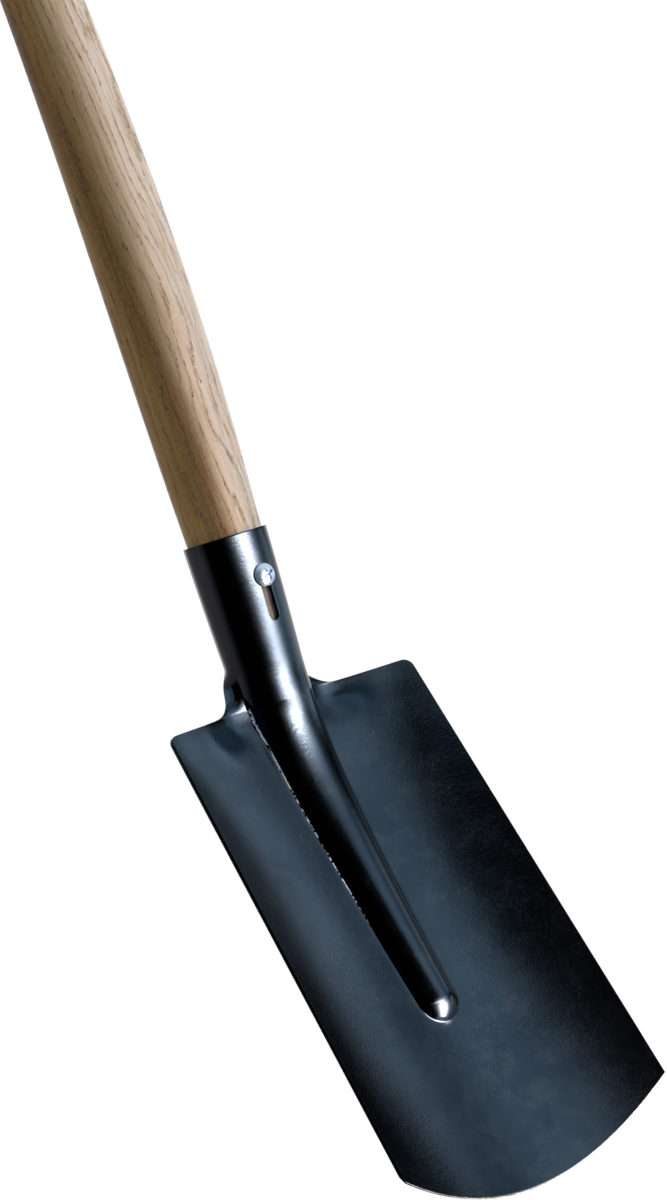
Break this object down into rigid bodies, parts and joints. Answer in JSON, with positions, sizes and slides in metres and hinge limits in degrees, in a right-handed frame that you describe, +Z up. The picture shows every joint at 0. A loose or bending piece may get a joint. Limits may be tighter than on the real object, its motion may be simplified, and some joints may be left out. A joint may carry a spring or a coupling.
{
  "type": "garden spade",
  "caption": "Digging spade with a pressed steel blade, a rolled open-backed socket, a gently bent ash shaft and a wooden T-grip.",
  "frame": {"origin": "middle of the T-grip, where the shaft's centre line crosses the grip's axis", "axes": "+Z up the straight upper part of the shaft, blade downwards; the blade's working face looks to -Y; X along the grip and across the blade"},
  "size_m": [0.175, 0.0863, 1.0788],
  "materials": {
    "blued_steel": "blue-black lacquer over pressed sheet steel, semi-gloss",
    "ash": "turned and sanded, thin clear oil",
    "zinc_plate": "bluish zinc plating",
    "beech": "plain, sawn and sanded flush"
  },
  "bodies": {
    "root": {"blade_and_socket": "blued_steel", "shaft": "ash", "grip_crosspiece": "ash", "socket_screw": "zinc_plate", "tenon_wedge": "beech", "grip_pin": "beech"}
  },
  "joints": []
}
